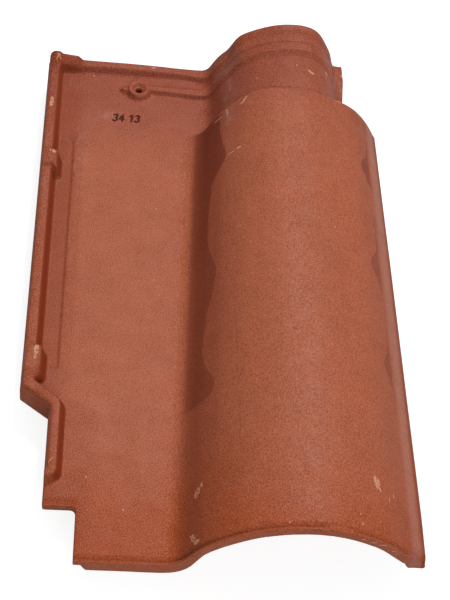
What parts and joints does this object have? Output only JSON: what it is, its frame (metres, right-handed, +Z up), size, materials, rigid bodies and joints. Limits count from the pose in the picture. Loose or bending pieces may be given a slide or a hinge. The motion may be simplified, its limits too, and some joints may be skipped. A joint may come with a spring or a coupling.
{
  "type": "clay roof tile",
  "caption": "Interlocking pressed clay roof tile with a flat pan, a half-round cover barrel, a stepped neck at the head, a side rib with lugs, hanging nibs and a nail hole.",
  "frame": {"origin": "centre of the bounding box in X and Y, level with the tips of the hanging nibs", "axes": "+X across the tile from the side rib to the cover barrel, +Y along it from the foot to the head, +Z up out of the pan's weathered face"},
  "size_m": [0.273, 0.4596, 0.0871],
  "materials": {
    "clay": "matte"
  },
  "bodies": {
    "root": {"tile": "clay"}
  },
  "joints": []
}
